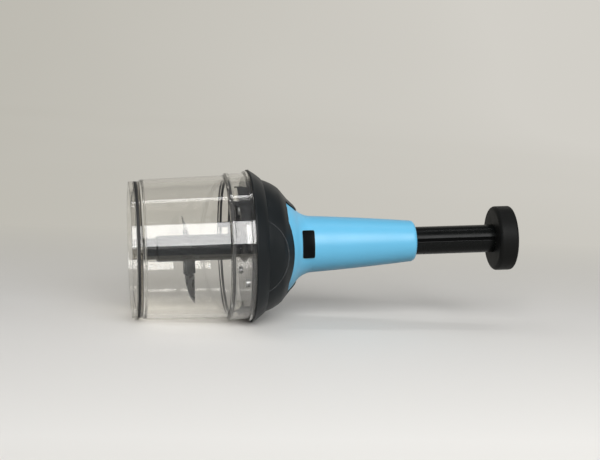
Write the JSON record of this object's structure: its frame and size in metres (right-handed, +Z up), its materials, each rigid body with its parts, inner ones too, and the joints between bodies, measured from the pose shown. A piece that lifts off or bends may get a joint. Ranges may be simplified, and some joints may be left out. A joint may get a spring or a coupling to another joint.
{
  "type": "plunger food chopper",
  "caption": "Hand food chopper: a round clear bowl with a bladed shaft, closed by a domed lid whose tapered handle holds a spring-loaded push plunger that spins the blades.",
  "frame": {"origin": "middle of the lying chopper's bounding box, on the worktop plane it rests on", "axes": "+X runs from the bowl's base to the push knob along the worktop, the axis rising 3.8 degrees; +Z is up"},
  "size_m": [0.3262, 0.1262, 0.1256],
  "materials": {
    "bowl": "gloss",
    "base_ring": "matte",
    "pivot_pin": "polished",
    "foot_bush": "satin",
    "blade_carrier": "satin",
    "lower_blade": "polished",
    "upper_blade": "polished",
    "shaft_sleeve": "satin",
    "drive_head": "satin",
    "lid_gasket": "matte",
    "lid_underside": "gloss",
    "lid_dome": "satin",
    "handle": "satin",
    "label_plate": "satin",
    "guide_bush": "satin",
    "bearing_bush": "satin",
    "thrust_washer": "polished",
    "lid_screws": "polished",
    "plunger_tube": "satin",
    "plunger_knob": "satin",
    "knob_cap": "satin",
    "drive_nut": "satin",
    "spring_seat": "satin",
    "return_spring": "polished",
    "drive_screw": "satin",
    "stop_washer": "polished",
    "clutch_driver": "satin"
  },
  "bodies": {
    "bowl": {"bowl": "bowl", "base_ring": "base_ring", "pivot_pin": "pivot_pin"},
    "blade_unit": {"foot_bush": "foot_bush", "blade_carrier": "blade_carrier", "lower_blade": "lower_blade", "upper_blade": "upper_blade", "shaft_sleeve": "shaft_sleeve", "drive_head": "drive_head"},
    "seal": {"lid_gasket": "lid_gasket"},
    "lid": {"lid_dome": "lid_dome", "lid_underside": "lid_underside", "handle": "handle", "label_plate": "label_plate", "guide_bush": "guide_bush", "bearing_bush": "bearing_bush", "thrust_washer": "thrust_washer", "lid_screws": "lid_screws"},
    "plunger": {"plunger_tube": "plunger_tube", "plunger_knob": "plunger_knob", "knob_cap": "knob_cap", "drive_nut": "drive_nut", "spring_seat": "spring_seat", "return_spring": "return_spring"},
    "screw": {"drive_screw": "drive_screw", "stop_washer": "stop_washer", "clutch_driver": "clutch_driver"}
  },
  "joints": [
    {"name": "blade_spin", "type": "hinge", "parent": "bowl", "child": "blade_unit", "pos_m": [-0.13945, 0, 0.0574], "axis": [0.9978, 0, 0.067], "continuous": true},
    {"name": "lid_lift", "type": "slide", "parent": "bowl", "child": "seal", "axis": [0.9978, 0, 0.067], "range_m": [0, 0.12]},
    {"name": "lid_turn", "type": "hinge", "parent": "seal", "child": "lid", "pos_m": [-0.06761, 0, 0.06222], "axis": [0.9978, 0, 0.067], "range_deg": [0, 24]},
    {"name": "plunger_press", "type": "slide", "parent": "lid", "child": "plunger", "axis": [-0.9978, 0, -0.067], "range_m": [0, 0.06], "stiffness_N_per_m": 200, "springref_m": -0.03, "deforming": ["return_spring"]},
    {"name": "screw_spin", "type": "hinge", "parent": "lid", "child": "screw", "pos_m": [-0.05962, 0, 0.06276], "axis": [0.9978, 0, 0.067], "continuous": true}
  ],
  "couplings": [
    {"joint": "screw_spin", "follows": "plunger_press", "rad_per_m": 157.08},
    {"joint": "blade_spin", "follows": "plunger_press", "rad_per_m": 157.08}
  ]
}
